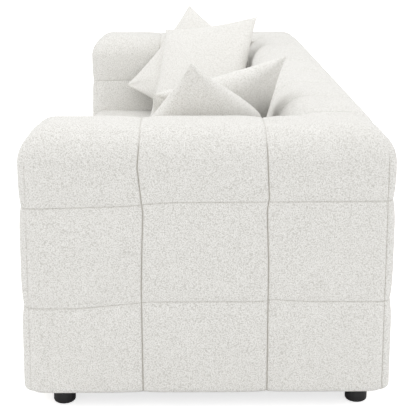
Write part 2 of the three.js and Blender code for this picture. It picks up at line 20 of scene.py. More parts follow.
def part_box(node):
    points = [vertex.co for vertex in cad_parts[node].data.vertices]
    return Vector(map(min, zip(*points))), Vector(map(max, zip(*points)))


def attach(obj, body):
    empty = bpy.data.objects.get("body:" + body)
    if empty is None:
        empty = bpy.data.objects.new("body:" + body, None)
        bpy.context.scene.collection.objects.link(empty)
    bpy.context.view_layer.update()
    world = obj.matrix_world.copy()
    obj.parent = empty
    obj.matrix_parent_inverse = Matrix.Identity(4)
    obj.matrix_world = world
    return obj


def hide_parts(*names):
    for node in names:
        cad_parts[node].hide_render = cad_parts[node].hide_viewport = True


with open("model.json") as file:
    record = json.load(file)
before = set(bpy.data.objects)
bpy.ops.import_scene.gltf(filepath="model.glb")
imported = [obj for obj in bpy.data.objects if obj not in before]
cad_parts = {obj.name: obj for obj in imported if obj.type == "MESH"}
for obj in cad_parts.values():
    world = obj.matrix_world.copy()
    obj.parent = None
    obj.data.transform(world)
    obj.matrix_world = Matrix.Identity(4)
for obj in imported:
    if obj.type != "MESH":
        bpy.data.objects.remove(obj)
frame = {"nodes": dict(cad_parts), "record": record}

LOG = logging.getLogger("tuxedo_sofa")
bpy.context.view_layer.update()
MILLIMETRE = 0.001

# Points nearer to each other than this are one point.
SAME = 1e-6
# A face whose middle is nearer to a plane than this lies in it.
IN_PLANE = 1e-4
# The least that a length is taken to be where it divides.
NOT_ZERO = 1e-9
# Rows beside a sewn line, close together where the cloth dives into it.
SEAM_STEPS = tuple(mm * MILLIMETRE for mm in (0, 1.2, 3.2, 6.5, 10.5, 16))
# The mesh attribute that tells the cloth where its sewn lines run, so that the cloth darkens its colour there
# as painted shade in the grooves.
SEAM_SHADE_LAYER = "seam"
# A wave texture of scale 1 repeats about this often, in its own units.
WAVE_PERIOD = 0.3
# The colour sockets of a Mix node: the two that go in and the one that comes out.
MIX_A, MIX_B, MIX_OUT = 6, 7, 2

# A sewn line: every point's distance to it and place along it, and how tight it is sewn.
Seam = tuple[np.ndarray, np.ndarray, float | np.ndarray]
# How points lie in plan: their bases, their outward ways and their nearness to a free side.
Plan = tuple[np.ndarray, np.ndarray, np.ndarray]


class Side(Enum):
    """The two ends of the sofa, with the sign of their X."""

    RIGHT = 1
    LEFT = -1

    @property
    def word(self) -> str:
        """The word that the end's pieces start with."""
        return self.name.lower()


def linear(colour: str) -> tuple[float, float, float, float]:
    """Turns an sRGB hex colour into linear light.

    Args:
        colour: Six hex digits, such as "e9e8e2".

    Returns:
        Red, green, blue and alpha, as shader sockets take them.
    """
    shares = [int(colour[at : at + 2], 16) / 255 for at in (0, 2, 4)]
    light = [s / 12.92 if s <= 0.04045 else ((s + 0.055) / 1.055) ** 2.4 for s in shares]
    return (*light, 1.0)


def feed(tree: bpy.types.NodeTree, node: bpy.types.Node, settings: dict, links: dict) -> bpy.types.Node:
    """Sets a node up and links what feeds it.

    Args:
        tree: The node tree that it is in.
        node: The node.
        settings: Socket names or numbers, or the node's own properties, with their values.
        links: Socket names or numbers, with the output that feeds each.

    Returns:
        The node.
    """
    for name, value in settings.items():
        if isinstance(name, str) and hasattr(node, name):
            setattr(node, name, value)
        else:
            node.inputs[name].default_value = value
    for name, source in links.items():
        tree.links.new(source, node.inputs[name])
    return node


def add_node(tree: bpy.types.NodeTree, kind: str, settings: dict, links: dict) -> bpy.types.Node:
    """Adds one node of a kind, with its settings and what feeds it, as feed takes them."""
    return feed(tree, tree.nodes.new(kind), settings, links)


def new_material(
    name: str,
) -> tuple[bpy.types.Material, bpy.types.NodeTree, bpy.types.Node, bpy.types.NodeSocket]:
    """Starts a node material.

    Args:
        name: The finish's name.

    Returns:
        The material, its tree, its surface shader and the piece's own coordinates.
    """
    material = bpy.data.materials.new(name)
    material.use_nodes = True
    tree = material.node_tree
    place = add_node(tree, "ShaderNodeTexCoord", {}, {}).outputs["Object"]
    return material, tree, tree.nodes["Principled BSDF"], place


def show_pattern(
    tree: bpy.types.NodeTree,
    shader: bpy.types.Node,
    pattern: bpy.types.NodeSocket,
    colours: tuple[str, str],
    relief: tuple[float, float],
) -> None:
    """Colours a surface by a pattern and lets the pattern stand up from it.

    Args:
        tree: The material's node tree.
        shader: Its surface shader.
        pattern: The pattern's height.
        colours: The colours where it is low and where it is high.
        relief: How strongly it shows and how far it stands up.
    """
    colour = add_node(
        tree,
        "ShaderNodeMix",
        {"data_type": "RGBA", MIX_A: linear(colours[0]), MIX_B: linear(colours[1])},
        {"Factor": pattern},
    )
    bump = add_node(
        tree, "ShaderNodeBump", {"Strength": relief[0], "Distance": relief[1]}, {"Height": pattern}
    )
    feed(tree, shader, {}, {"Base Color": colour.outputs[MIX_OUT], "Normal": bump.outputs[0]})


@dataclass(frozen=True)
class Boucle:
    """Boucle cloth: looped yarn that lies in tight curls, so it is matt and lightly shaded.

    The curls give a fine speckle: their pits are given painted shade and their raised loops the yarn's own
    colour, and the loops catch light at a glancing view. Knots break the curls up, stray yarn bends them, and
    wide patches are a little lighter.
    """

    name: str
    loop: str = "faf9f6"
    # The pits' colour is painted shade deep between the curls; the loops' colour is the yarn's own.
    pit_shade: str = "cbc9c3"
    # Painted shade in the seams' grooves: the colour that the cloth is darkened to along its sewn lines.
    seam: str = "c2beb4"
    curl: float = 2.9 * MILLIMETRE
    relief: float = 1.3 * MILLIMETRE
    patch: float = 111 * MILLIMETRE
    strength: float = 0.7
    cast: float = 0.03

    # How often stray yarn and knots come, how far the curls bend, and how low and high they lie.
    strays_per_curl: float = 0.6
    knots_per_curl: float = 1.9
    bend_per_curl: float = 0.8
    heights: tuple[float, float] = (-0.35, 0.42)

    def build(self) -> bpy.types.Material:
        """Makes the material.

        Returns:
            The material.
        """
        material, tree, shader, place = new_material(self.name)
        stray = add_node(
            tree,
            "ShaderNodeTexNoise",
            {"Scale": self.strays_per_curl / self.curl, "Detail": 2.0},
            {"Vector": place},
        )
        bent = add_node(
            tree,
            "ShaderNodeVectorMath",
            {"operation": "MULTIPLY_ADD", 1: (self.bend_per_curl * self.curl,) * 3},
            {0: stray.outputs["Color"], 2: place},
        ).outputs[0]
        curls = add_node(tree, "ShaderNodeTexVoronoi", {"Scale": 1 / self.curl}, {"Vector": bent})
        knots = add_node(
            tree,
            "ShaderNodeTexNoise",
            {"Scale": self.knots_per_curl / self.curl, "Detail": 3.0, "Roughness": 0.6},
            {"Vector": bent},
        )
        height = add_node(
            tree,
            "ShaderNodeMath",
            {"operation": "MULTIPLY_ADD", 1: -1.0},
            {0: curls.outputs["Distance"], 2: knots.outputs["Fac"]},
        ).outputs[0]
        shade = add_node(
            tree,
            "ShaderNodeMapRange",
            {"From Min": self.heights[0], "From Max": self.heights[1]},
            {"Value": height},
        )
        patch = add_node(
            tree, "ShaderNodeTexNoise", {"Scale": 1 / self.patch, "Detail": 2.0}, {"Vector": place}
        )
        tone = add_node(
            tree,
            "ShaderNodeMath",
            {"operation": "MULTIPLY_ADD", 1: 2 * self.cast},
            {0: patch.outputs["Fac"], 2: shade.outputs[0]},
        )
        yarn = add_node(
            tree,
            "ShaderNodeMix",
            # The colour runs from the pits' painted shade up to the yarn's own colour on the loops as the
            # curls rise.
            {"data_type": "RGBA", MIX_A: linear(self.pit_shade), MIX_B: linear(self.loop)},
            {"Factor": tone.outputs[0]},
        )
        # Painted shade in the seams: the yarn's colour is mixed toward the seam colour as far as the vertex
        # lies in a sewn line.
        sewn = add_node(tree, "ShaderNodeAttribute", {"attribute_name": SEAM_SHADE_LAYER}, {})
        seam_shaded = add_node(
            tree,
            "ShaderNodeMix",
            {"data_type": "RGBA", MIX_B: linear(self.seam)},
            {"Factor": sewn.outputs["Fac"], MIX_A: yarn.outputs[MIX_OUT]},
        )
        bump = add_node(
            tree, "ShaderNodeBump", {"Strength": self.strength, "Distance": self.relief}, {"Height": height}
        )
        feed(
            tree,
            shader,
            {"Roughness": 0.95, "Specular IOR Level": 0.15, "Sheen Weight": 0.25, "Sheen Roughness": 0.55},
            {"Base Color": seam_shaded.outputs[MIX_OUT], "Normal": bump.outputs[0]},
        )
        return material


@dataclass(frozen=True)
class Timber:
    """Planed softwood: straight, slightly wavy grain under no varnish, so it stays matt."""

    name: str = "planed_pine"
    early: str = "d8b884"
    late: str = "b48a55"
    ring: float = 5.0 * MILLIMETRE
    relief: float = 0.3 * MILLIMETRE

    def build(self) -> bpy.types.Material:
        """Makes the material.

        Returns:
            The material.
        """
        material, tree, shader, place = new_material(self.name)
        rings = add_node(
            tree,
            "ShaderNodeTexWave",
            {"wave_type": "RINGS", "Scale": WAVE_PERIOD / self.ring, "Distortion": 3.5, "Detail": 2.0},
            {"Vector": place},
        )
        show_pattern(tree, shader, rings.outputs["Fac"], (self.early, self.late), (0.2, self.relief))
        feed(tree, shader, {"Roughness": 0.7}, {})
        return material


@dataclass(frozen=True)
class Woven:
    """Cloth whose threads cross square, such as elastic webbing or a pressed dust cloth.

    The threads give a dull, even check. They are drawn coarser than real ones, to show.
    """

    name: str
    thread: float
    high: str
    low: str
    relief: float = 0.4 * MILLIMETRE

    def build(self) -> bpy.types.Material:
        """Makes the material.

        Returns:
            The material.
        """
        material, tree, shader, place = new_material(self.name)
        bands = [
            add_node(
                tree,
                "ShaderNodeTexWave",
                {"bands_direction": way, "Scale": WAVE_PERIOD / self.thread, "Distortion": 0.4},
                {"Vector": place},
            )
            for way in ("X", "Y")
        ]
        cross = add_node(
            tree,
            "ShaderNodeMath",
            {"operation": "MULTIPLY"},
            {0: bands[0].outputs["Fac"], 1: bands[1].outputs["Fac"]},
        )
        show_pattern(tree, shader, cross.outputs[0], (self.low, self.high), (0.4, self.relief))
        feed(tree, shader, {"Roughness": 0.85}, {})
        return material


@dataclass(frozen=True)
class Moulded:
    """Moulded black plastic or zinc-plated steel: an even skin with a fine tooled grain."""

    name: str
    colour: str
    roughness: float
    metallic: float
    grain: float = 0.7 * MILLIMETRE
    relief: float = 0.2 * MILLIMETRE
    uneven: float = 0.06

    def build(self) -> bpy.types.Material:
        """Makes the material.

        Returns:
            The material.
        """
        material, tree, shader, place = new_material(self.name)
        grit = add_node(
            tree, "ShaderNodeTexNoise", {"Scale": 1 / self.grain, "Detail": 3.0}, {"Vector": place}
        ).outputs["Fac"]
        rough = add_node(
            tree,
            "ShaderNodeMapRange",
            {"To Min": self.roughness - self.uneven, "To Max": self.roughness + self.uneven},
            {"Value": grit},
        )
        bump = add_node(tree, "ShaderNodeBump", {"Strength": 0.15, "Distance": self.relief}, {"Height": grit})
        feed(
            tree,
            shader,
            {"Base Color": linear(self.colour), "Metallic": self.metallic},
            {"Roughness": rough.outputs[0], "Normal": bump.outputs[0]},
        )
        return material


@dataclass
class Finishes:
    """Every finish of the sofa, made once."""

    boucle: bpy.types.Material = field(init=False)
    pillow_boucle: bpy.types.Material = field(init=False)
    by_slot: dict[str, bpy.types.Material] = field(init=False)

    def __post_init__(self) -> None:
        """Builds the materials and names the record's slot of each."""
        self.boucle = Boucle("boucle_cloth").build()
        # The pillows' cloth: the yarn's own colour on the loops and painted shade in the pits.
        self.pillow_boucle = Boucle("pillow_boucle_cloth", "fcfbf8", "d3d1cb", curl=2.6 * MILLIMETRE).build()
        self.by_slot = {
            "timber": Timber().build(),
            "elastic_webbing": Woven("elastic_webbing", 2.4 * MILLIMETRE, "5a5046", "3a332c").build(),
            "dust_cloth": Woven("pressed_dust_cloth", 1.6 * MILLIMETRE, "222224", "161618").build(),
            "foot_plastic": Moulded("moulded_black_plastic", "1b1a1d", 0.5, 0.0).build(),
            "zinc_steel": Moulded("zinc_plated_steel", "b9bcc0", 0.35, 1.0).build(),
        }


def rows_between(
    low: float, high: float, seams: list[float], spacing: float, stops: tuple[float, ...] = ()
) -> np.ndarray:
    """Chooses a cover's rows along one axis: close beside each seam, even elsewhere.

    Args:
        low: Where the rows start.
        high: Where they end.
        seams: Places of the seams.
        spacing: The widest step between rows.
        stops: Places that need a row of their own.

    Returns:
        The places in rising order.
    """
    near = {round(seam + way * step, 5) for seam in seams for step in SEAM_STEPS for way in (-1, 1)}
    near = {place for place in near if all(abs(place - stop) > MILLIMETRE for stop in (low, high, *stops))}
    fixed = sorted({low, high, *stops} | {place for place in near if low < place < high})
    places = [fixed[0]]
    for place in fixed[1:]:
        count = max(1, math.ceil((place - places[-1]) / spacing))
        places.extend(np.linspace(places[-1], place, count + 1)[1:])
    return np.array(places)


def lattice(rows: tuple[np.ndarray, np.ndarray, np.ndarray]) -> bmesh.types.BMesh:
    """Makes a box of quads with a vertex at each crossing of the rows.

    Args:
        rows: The rows along X, Y and Z.

    Returns:
        The box.
    """
    bm = bmesh.new()
    bmesh.ops.create_cube(bm, size=1.0)
    half = 0.5
    for axis, places in enumerate(rows):
        long = [e for e in bm.edges if abs((e.verts[1].co - e.verts[0].co)[axis]) > half]
        bmesh.ops.subdivide_edges(bm, edges=long, cuts=len(places) - 2, use_grid_fill=True)
    unit = points_of(bm)
    placed = [
        np.interp((unit[:, axis] + half) * (len(places) - 1), np.arange(len(places)), places)
        for axis, places in enumerate(rows)
    ]
    for vert, place in zip(bm.verts, np.stack(placed, axis=1)):
        vert.co = place
    return bm


def points_of(bm: bmesh.types.BMesh) -> np.ndarray:
    """Gives a mesh's vertices as the rows of an array."""
    return np.array([vert.co for vert in bm.verts])


def drop_faces(bm: bmesh.types.BMesh, doomed: Callable[[Vector], bool]) -> None:
    """Deletes the faces whose middle a test names.

    Args:
        bm: The mesh.
        doomed: A function of a point that is true where a face goes.
    """
    faces = [face for face in bm.faces if doomed(face.calc_center_median())]
    bmesh.ops.delete(bm, geom=faces, context="FACES")


def place_verts(bm: bmesh.types.BMesh, places: np.ndarray, groove: np.ndarray) -> None:
    """Moves a cover's vertices and notes which lie in a sewn line, where the cloth gets painted shade.

    Args:
        bm: The mesh.
        places: Where its vertices go.
        groove: How much each lies in a sewn line.
    """
    # How much each vertex lies in a sewn line, which darkens the cloth there as painted shade.
    layer = bm.verts.layers.float.new(SEAM_SHADE_LAYER)
    for vert, place, share in zip(bm.verts, places, groove):
        vert.co = place
        vert[layer] = share


def close_inside(bm: bmesh.types.BMesh, inward: Callable[[Vector], Vector], ceiling: float) -> None:
    """Turns a cover's open edge in, lifts it to a level and closes it there.

    Args:
        bm: The mesh, with one open edge loop.
        inward: A function that gives where a point of the edge turns in to.
        ceiling: The level that the inside is closed at.
    """
    edges = [edge for edge in bm.edges if edge.is_boundary]
    for move in (inward, lambda at: Vector((at.x, at.y, ceiling))):
        grown = bmesh.ops.extrude_edge_only(bm, edges=edges)["geom"]
        verts = [item for item in grown if isinstance(item, bmesh.types.BMVert)]
        for vert in verts:
            vert.co = move(vert.co)
        edges = [e for e in grown if isinstance(e, bmesh.types.BMEdge) and e.is_boundary]
    bmesh.ops.remove_doubles(bm, verts=verts, dist=SAME)
    open_edges = [edge for edge in bm.edges if edge.is_boundary]
    bmesh.ops.edgeloop_fill(bm, edges=open_edges)
    bmesh.ops.dissolve_degenerate(bm, dist=SAME / 10, edges=bm.edges)
    bmesh.ops.recalc_face_normals(bm, faces=bm.faces)


def mirror_to(side: Side, bm: bmesh.types.BMesh) -> None:
    """Mirrors a mesh, which is built at the right end, if its end is the left one.

    Args:
        side: The mesh's end.
        bm: The mesh.
    """
    if side is Side.LEFT:
        bmesh.ops.scale(bm, vec=(-1, 1, 1), verts=bm.verts)
        bmesh.ops.reverse_faces(bm, faces=bm.faces)


def finish_mesh(bm: bmesh.types.BMesh, name: str, material: bpy.types.Material) -> bpy.types.Object:
    """Makes a smooth-shaded object of a mesh, with its place in the mesh.

    Args:
        bm: The mesh, which is freed.
        name: The piece's name.
        material: Its finish.

    Returns:
        The object.
    """
    for face in bm.faces:
        face.smooth = True
    mesh = bpy.data.meshes.new(name)
    bm.to_mesh(mesh)
    bm.free()
    mesh.materials.append(material)
    piece = bpy.data.objects.new(name, mesh)
    bpy.context.scene.collection.objects.link(piece)
    return piece


def report(piece: bpy.types.Object) -> None:
    """Logs a finished piece's name and faces."""
    LOG.info("%s: %d faces", piece.name, len(piece.data.polygons))


@dataclass
class Padding:
    """Foam under cloth: how its edges roll and how sewn seams draw it in."""

    # Its top and lower edge, the radii that these roll over with, and how square its corners are.
    top: float
    low: float
    roll: float
    hem: float = 0.016
    corner_power: float = 5.0

    # How far the foam sinks toward a seam and from how far off, and the stitched groove itself.
    puff: float = 0.0062
    puff_reach: float = 0.088
    stitch: float = 0.0044
    stitch_width: float = 0.0012

    # The small puckers across a seam: how high, how far they reach, how far they keep off the
    # stitches, and the lengths of the waves that they are made of.
    pucker: float = 0.0006
    pucker_reach: float = 0.020
    pucker_clear: float = 0.005
    pucker_waves: tuple[float, ...] = (0.023, 0.037, 0.061)

    # The uneven filling: how far it swells, and its waves, which are how fast each runs along
    # X, Y and Z and where it starts.
    swell: float = 0.0012
    swell_waves: tuple = ((9.1, 0, 5.3, 1.1), (0, 11.7, -7.9, 0.4), (3.1, 0, 8.3, 0))

    @property
    def bends(self) -> list[float]:
        """The levels where the crest's roll and the hem begin."""
        return [self.top - self.roll, self.low + self.hem]

    def ripple(self, along: np.ndarray, phase: float) -> np.ndarray:
        """Sums sine waves into an uneven run of puckers.

        Args:
            along: Places along the seam.
            phase: What sets this run apart from another.

        Returns:
            Values from -1 to 1.
        """
        stagger = 1.7
        waves = [
            np.sin(2 * math.pi * along / wave + phase * (number + stagger))
            for number, wave in enumerate(self.pucker_waves)
        ]
        return sum(waves) / len(waves)

    def sunk(self, seams: list[Seam], points: np.ndarray) -> tuple[np.ndarray, np.ndarray]:
        """Works out how far each point is drawn in.

        Args:
            seams: The sewn lines.
            points: The points.

        Returns:
            Depths below the full padding, and how much each point lies in a sewn line.
        """
        full = np.ones(len(points))
        groove = np.zeros(len(points))
        puckers = np.zeros(len(points))
        for number, (distance, along, tight) in enumerate(seams, start=1):
            left = 1 - np.clip(distance / self.puff_reach, 0, 1)
            full *= 1 - left**3
            groove = np.maximum(groove, tight * np.exp(-((distance / self.stitch_width) ** 2)))
            clear = 1 - np.exp(-((distance / self.pucker_clear) ** 2))
            fade = np.exp(-distance / self.pucker_reach) * clear
            puckers += self.pucker * fade * self.ripple(along, number)
        swell = np.prod([np.sin(points @ wave[:3] + wave[3]) for wave in self.swell_waves], axis=0)
        depth = self.puff * (1 - full) + self.stitch * groove + puckers
        return depth + self.swell * (1 - swell) / 2 * full, groove

    def settle(self, points: np.ndarray, plan: Plan, sunk: np.ndarray) -> np.ndarray:
        """Rolls the edges of a box's skin over and draws it in.

        Args:
            points: Points on the box.
            plan: How they lie in plan.
            sunk: How far each is drawn in.

        Returns:
            The places on the padding.
        """
        base, out, most = plan
        z = points[:, 2]
        shoulder, hem_top = self.bends
        rise = np.clip((z - shoulder) / self.roll, 0, 1)
        turn = np.where(rise > 0, np.arctan2(rise, np.maximum(most, NOT_ZERO)), 0.0)
        fall = np.clip((hem_top - z) / self.hem, 0, 1)
        hem_turn = fall * math.pi / 2
        reach = (self.roll - sunk) * np.cos(turn) - self.hem * (1 - np.cos(hem_turn))
        flat = base + out * reach[:, None]
        height = np.where(rise > 0, shoulder + (self.roll - sunk) * np.sin(turn), z)
        height = np.where(fall > 0, self.low + self.hem * (1 - np.sin(hem_turn)), height)
        return np.column_stack([flat, height])

    def block_plan(
        self,
        points: np.ndarray,
        low: tuple[float, float],
        high: tuple[float, float],
        free: tuple[bool, bool],
        powers: np.ndarray | None = None,
    ) -> Plan:
        """Finds how each point lies to a block's sides, in plan.

        Args:
            points: The points.
            low: The block's low corner in plan.
            high: Its high corner.
            free: Whether its X sides and its Y sides are free.
            powers: How square the nearest upright corner of each point is, where they differ.

        Returns:
            The plan.
        """
        middle = np.add(low, high) / 2
        off = points[:, :2] - middle
        core = np.subtract(high, low) / 2 - self.roll
        share = np.clip((np.abs(off) - core) / self.roll, 0, 1) * np.sign(off)
        base = middle + np.clip(off, -core, core)
        for axis in (0, 1):
            if not free[axis]:
                share[:, axis] = 0
                base[:, axis] = points[:, axis]
        powers = np.full(len(points), self.corner_power) if powers is None else powers
        norm = (np.abs(share) ** powers[:, None]).sum(axis=1) ** (1 / powers)
        return base, share / np.where(norm > 0, norm, 1)[:, None], np.abs(share).max(axis=1)


@dataclass
class Shell:
    """The sofa's upholstered outline, and what its arms, back and seat share."""

    finishes: Finishes
    half_length: float = field(init=False)
    half_depth: float = field(init=False)
    inner_x: float = field(init=False)
    back_y: float = field(init=False)
    top: float = field(init=False)
    low: float = field(init=False)
    seat: float = field(init=False)
    seam_levels: tuple[float, float] = field(init=False)

    # The crest's roll, the panels' thickness, their gap to the frame, and the widest step of rows.
    roll: float = 0.092
    skin: float = 0.042
    clearance: float = 0.0003
    spacing: float = 0.0105

    # The back's and the seat's columns, and how far in from the rear the rear panel is sewn on.
    columns: int = 7
    rear_facing: float = 0.0165

    # How tight seams are sewn: upright ones, level ones, and where the arms meet the back and seat.
    upright_tightness: float = 0.7
    level_tightness: float = 0.42
    junction_tightness: float = 0.5

    # The puckers that fan out from the inner corners: how deep, how wide, and how unevenly they turn.
    fan_depth: float = 0.0045
    fan_reach: float = 0.14
    fan_start: float = 0.025
    fan_above_seat: float = 0.1
    fan_folds: int = 6
    fan_turn: float = 0.5
    fan_wander: tuple[float, int] = (0.6, 4)

    def __post_init__(self) -> None:
        """Reads the outline from the frame."""
        cap_low, cap_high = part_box("right_arm_cap")
        panel_low, panel_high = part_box("right_arm_outer_panel")
        self.half_length, self.half_depth, self.top = cap_high.x, cap_high.y, cap_high.z
        self.inner_x = round(cap_low.x, 3)
        self.back_y = round(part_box("back_front_panel")[0].y, 3)
        self.low = round(panel_low.z, 3)
        self.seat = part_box("seat_pad")[1].z
        self.seam_levels = (round(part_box("seat_pad")[0].z, 3), round(panel_high.z, 3))

    @property
    def column_seams(self) -> list[float]:
        """The upright seams of the back and the seat, arms' sides included."""
        return list(np.linspace(-self.inner_x, self.inner_x, self.columns + 1))

    def upright_seams(self, points: np.ndarray) -> list[Seam]:
        """Gives the back's and the seat's upright seams; where they meet the arms they only touch.

        Args:
            points: The cover's points.

        Returns:
            The sewn lines.
        """
        x, y, z = points.T
        inner, outer = self.upright_tightness, self.junction_tightness
        return [
            (np.abs(x - seam), y + z, inner if abs(seam) < self.inner_x - SAME else outer)
            for seam in self.column_seams
        ]

    def level_seams(self, points: np.ndarray) -> list[Seam]:
        """Gives the two level seams, which are sewn less tight than the upright ones."""
        along = points[:, 0] + points[:, 1]
        return [(np.abs(points[:, 2] - level), along, self.level_tightness) for level in self.seam_levels]

    def round_corner(self, points: np.ndarray, chosen: np.ndarray, sign: int, plan: Plan) -> None:
        """Rolls the padding round the inner corner of an arm and the back.

        Args:
            points: Points on a box.
            chosen: Which of them may be near the corner.
            sign: The end's sign.
            plan: How they lie in plan, changed in place.
        """
        base, out, most = plan
        corner = np.array([sign * self.inner_x, self.back_y])
        away = points[:, :2] - corner
        distance = np.hypot(*away.T)
        away[distance < SAME] = (sign, 1)
        way = away / np.hypot(*away.T)[:, None]
        near = chosen & (distance < self.roll)
        base[near] = corner + way[near] * self.roll
        out[near] = -way[near]
        most[near] = 1 - distance[near] / self.roll

    def fan(self, points: np.ndarray) -> np.ndarray:
        """Gives the puckers that fan out over the top from the inner corners.

        Args:
            points: The cover's points.

        Returns:
            How far each is drawn in.
        """
        away = np.column_stack([np.abs(points[:, 0]) - self.inner_x, points[:, 1] - self.back_y])
        distance = np.hypot(*away.T)
        angle = np.arctan2(away[:, 1], away[:, 0])
        fade = np.exp(-((distance / self.fan_reach) ** 2)) * np.clip(distance / self.fan_start, 0, 1)
        wander, bends = self.fan_wander
        turned = self.fan_folds * angle + self.fan_turn + wander * np.sin(bends * angle)
        folds = (1 - np.abs(np.sin(turned))) ** 2
        return self.fan_depth * fade * folds * (points[:, 2] > self.seat + self.fan_above_seat)

    def close_round(self, board: str, bm: bmesh.types.BMesh) -> None:
        """Closes a cover's inside round a top board and the frame below it, a clearance off them.

        Args:
            board: The board's CAD node.
            bm: The cover's mesh.
        """
        room = Vector((self.clearance,) * 3)
        low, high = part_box(board)
        low, high = low - room, high + room

        def turn_in(at: Vector) -> Vector:
            """Sends the open edge to the hollow's side."""
            return Vector((min(max(at.x, low.x), high.x), min(max(at.y, low.y), high.y), min(at.z, high.z)))

        close_inside(bm, turn_in, high.z)

    def declare(self, bm: bmesh.types.BMesh, name: str, nodes: list[str], fill: float) -> bpy.types.Object:
        """Makes a cover's piece, hides the CAD nodes that it replaces and hangs it on the sofa's body.

        Args:
            bm: The cover's mesh.
            name: Its name.
            nodes: The CAD nodes that it replaces.
            fill: Not used.

        Returns:
            The cover.
        """
        piece = finish_mesh(bm, name, self.finishes.boucle)
        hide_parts(*nodes)
        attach(piece, "sofa")
        report(piece)
        return piece


@dataclass
class Arm:
    """A block arm: cap, outer, inner and front panels under one cover, built at the right end."""

    shell: Shell
    side: Side
    fill: float = 0.85

    # Where the upright seams run, how far in from the front the front panel is sewn on, how that
    # line and the rear one fade toward the crest, and how tight the two are sewn.
    seams: tuple[float, float] = (-0.1664, 0.1485)
    front_facing: float = 0.0125
    facing_fade: float = 0.005
    facing_tightness: tuple[float, float] = (0.2, 0.7)

    # How the upright seams ease off below the crest: places under it, and how tight they are sewn.
    crest_fade: tuple = ((-0.05, -0.01), (1, 0.35))

    # The inner wall below the seat's top: how square its front corner is pressed, and over which
    # heights above the seat that ends; how far up the wall is held by the seat, and how little it gives.
    pressed_power: float = 14.0
    pressed_span: tuple[float, float] = (-0.04, 0.05)
    held_reach: float = 0.04
    held_give: float = 0.02

    # How far the sewn lines stray from straight: places along the line, and how far. Then how far
    # from a line the padding strays with it, and how near the back's face nothing strays in plan.
    lower_sag: tuple = (
        (-0.47, -0.43, -0.34, -0.29, -0.2, -0.15, 0.13, 0.16, 0.25, 0.47),
        (-0.017, -0.017, -0.017, -0.014, -0.005, 0, 0, 0.005, 0, -0.002),
    )
    upper_sag: tuple = ((-0.47, -0.43, -0.22, -0.1, 0.14, 0.47), (-0.017, -0.016, -0.011, -0.001, 0, 0.001))
    first_stray: tuple = (
        (0.05, 0.33, 0.45, 0.53, 0.56, 0.64, 0.72),
        (0.004, 0.002, 0.005, 0.008, 0.004, -0.005, 0),
    )
    second_stray: tuple = (
        (0.05, 0.4, 0.53, 0.56, 0.64, 0.73),
        (0.003, 0.003, -0.002, 0.003, -0.001, -0.004),
    )
    stray_reach: float = 0.085
    corner_reach: float = 0.02

    @property
    def facings(self) -> list[float]:
        """The lines where the front and the rear panel are sewn on."""
        shell = self.shell
        return [-shell.half_depth + self.front_facing, shell.half_depth - shell.rear_facing]

    def box(self, padding: Padding) -> bmesh.types.BMesh:
        """Makes the open box that the cover starts from.

        Args:
            padding: The arm's padding.

        Returns:
            The box, without its floor and without what the seat and the back cover.
        """
        shell = self.shell
        border = shell.skin - shell.half_depth
        bm = lattice((
            rows_between(shell.inner_x, shell.half_length, [], shell.spacing),
            rows_between(
                -shell.half_depth,
                shell.half_depth,
                [*self.seams, *self.facings],
                shell.spacing,
                (border, shell.back_y),
            ),
            rows_between(shell.low, shell.top, [*shell.seam_levels, *padding.bends], shell.spacing),
        ))
        drop_faces(bm, lambda at: at.z < shell.low + IN_PLANE)
        drop_faces(
            bm,
            lambda at: at.x < shell.inner_x + IN_PLANE
            and (at.y > shell.back_y or (at.z < shell.seam_levels[0] and at.y > border)),
        )
        return bm

    def sewn_lines(self, points: np.ndarray) -> list[Seam]:
        """Gives the arm's sewn lines.

        Args:
            points: Points on the box.

        Returns:
            The upright seams, the facings' lines, the level seams and the line along the back.
        """
        shell = self.shell
        x, y, z = points.T
        crest = np.interp(z - shell.top, *self.crest_fade)
        lines = [(np.abs(y - seam), z + x, crest) for seam in self.seams]
        across = np.minimum.reduce([x - shell.inner_x, shell.half_length - x, shell.top - z])
        fade = self.facing_fade * np.clip((z - shell.top + shell.roll) / shell.roll, 0, 1)
        for seam, tightness in zip(self.facings, self.facing_tightness):
            lines.append((np.abs(y - seam) + across + fade, z + x, tightness))
        lines += shell.level_seams(points)
        junction = np.hypot(x - shell.inner_x, np.maximum(0, shell.back_y - y))
        lines.append((junction, y + z, shell.junction_tightness))
        return lines

    def stray(self, points: np.ndarray) -> np.ndarray:
        """Moves the lattice so that its sewn lines run as unevenly as hand sewing.

        Args:
            points: Points on the box.

        Returns:
            The strayed points.
        """
        moved = points.copy()
        _, y, z = points.T
        for level, sag in zip(self.shell.seam_levels, (self.lower_sag, self.upper_sag)):
            moved[:, 2] += np.interp(y, *sag) * np.exp(-(((z - level) / self.stray_reach) ** 2))
        for seam, line in zip(self.seams, (self.first_stray, self.second_stray)):
            moved[:, 1] += np.interp(z, *line) * np.exp(-(((y - seam) / self.stray_reach) ** 2))
        return moved

    def keep_corner(self, strayed: np.ndarray, raw: np.ndarray) -> np.ndarray:
        """Keeps strayed points on the arm's side of the inner corner.

        Args:
            strayed: The strayed points.
            raw: Where they were.

        Returns:
            The points to plan with.
        """
        kept = strayed.copy()
        edge = np.abs(raw[:, 1] - self.shell.back_y) < self.corner_reach
        kept[edge, 1] = raw[edge, 1]
        return kept

    def plan(self, padding: Padding, points: np.ndarray) -> Plan:
        """Finds how each point lies to the arm's free sides, in plan.

        Args:
            padding: The arm's padding.
            points: Points on the box.

        Returns:
            The plan.
        """
        shell = self.shell
        low = (shell.inner_x, -shell.half_depth)
        high = (shell.half_length, shell.half_depth)
        inside = points[:, 0] < shell.inner_x + shell.roll
        square = np.interp(
            points[:, 2] - shell.seat, self.pressed_span, (self.pressed_power, padding.corner_power)
        )
        powers = np.where(inside & (points[:, 1] < 0), square, padding.corner_power)
        plan = padding.block_plan(points, low, high, (True, True), powers)
        joined = inside & (points[:, 1] > shell.back_y - SAME)
        for part, flat_part in zip(plan, padding.block_plan(points, low, high, (False, True))):
            part[joined] = flat_part[joined]
        shell.round_corner(points, joined, Side.RIGHT.value, plan)
        return plan

